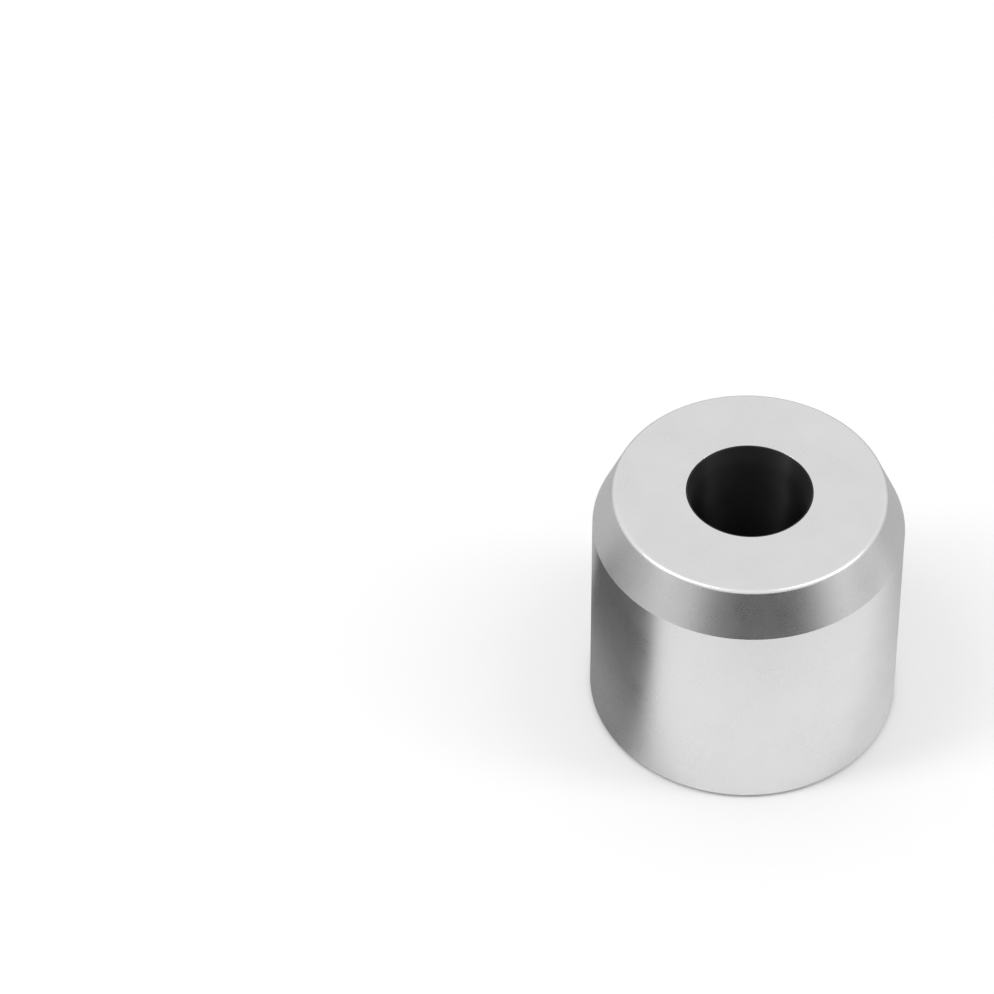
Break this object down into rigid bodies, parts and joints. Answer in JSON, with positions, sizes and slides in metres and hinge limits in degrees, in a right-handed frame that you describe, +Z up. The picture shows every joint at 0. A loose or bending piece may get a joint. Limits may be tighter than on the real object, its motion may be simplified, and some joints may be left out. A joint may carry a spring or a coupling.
{
  "type": "razor stand",
  "caption": "Weighted round metal stand with a chamfered top and a black lined well that holds a safety razor upright by its handle.",
  "frame": {"origin": "centre of the rubber foot's underside, on the surface that the stand rests on", "axes": "+Z up along the well's axis, out of its mouth; the body is round, so X and Y are free; one base screw lies on +Y"},
  "size_m": [0.0428, 0.0428, 0.0384],
  "materials": {
    "satin_plating": "satin",
    "black_liner": "gloss",
    "buffer_rubber": "matte",
    "ballast_steel": "satin",
    "plate_plastic": "satin",
    "screw_steel": "satin",
    "foot_rubber": "matte"
  },
  "bodies": {
    "root": {"outer_body": "satin_plating", "well_liner": "black_liner", "buffer_disc": "buffer_rubber", "ballast_ring": "ballast_steel", "base_plate": "plate_plastic", "base_screws": "screw_steel", "rubber_foot": "foot_rubber"}
  },
  "joints": []
}
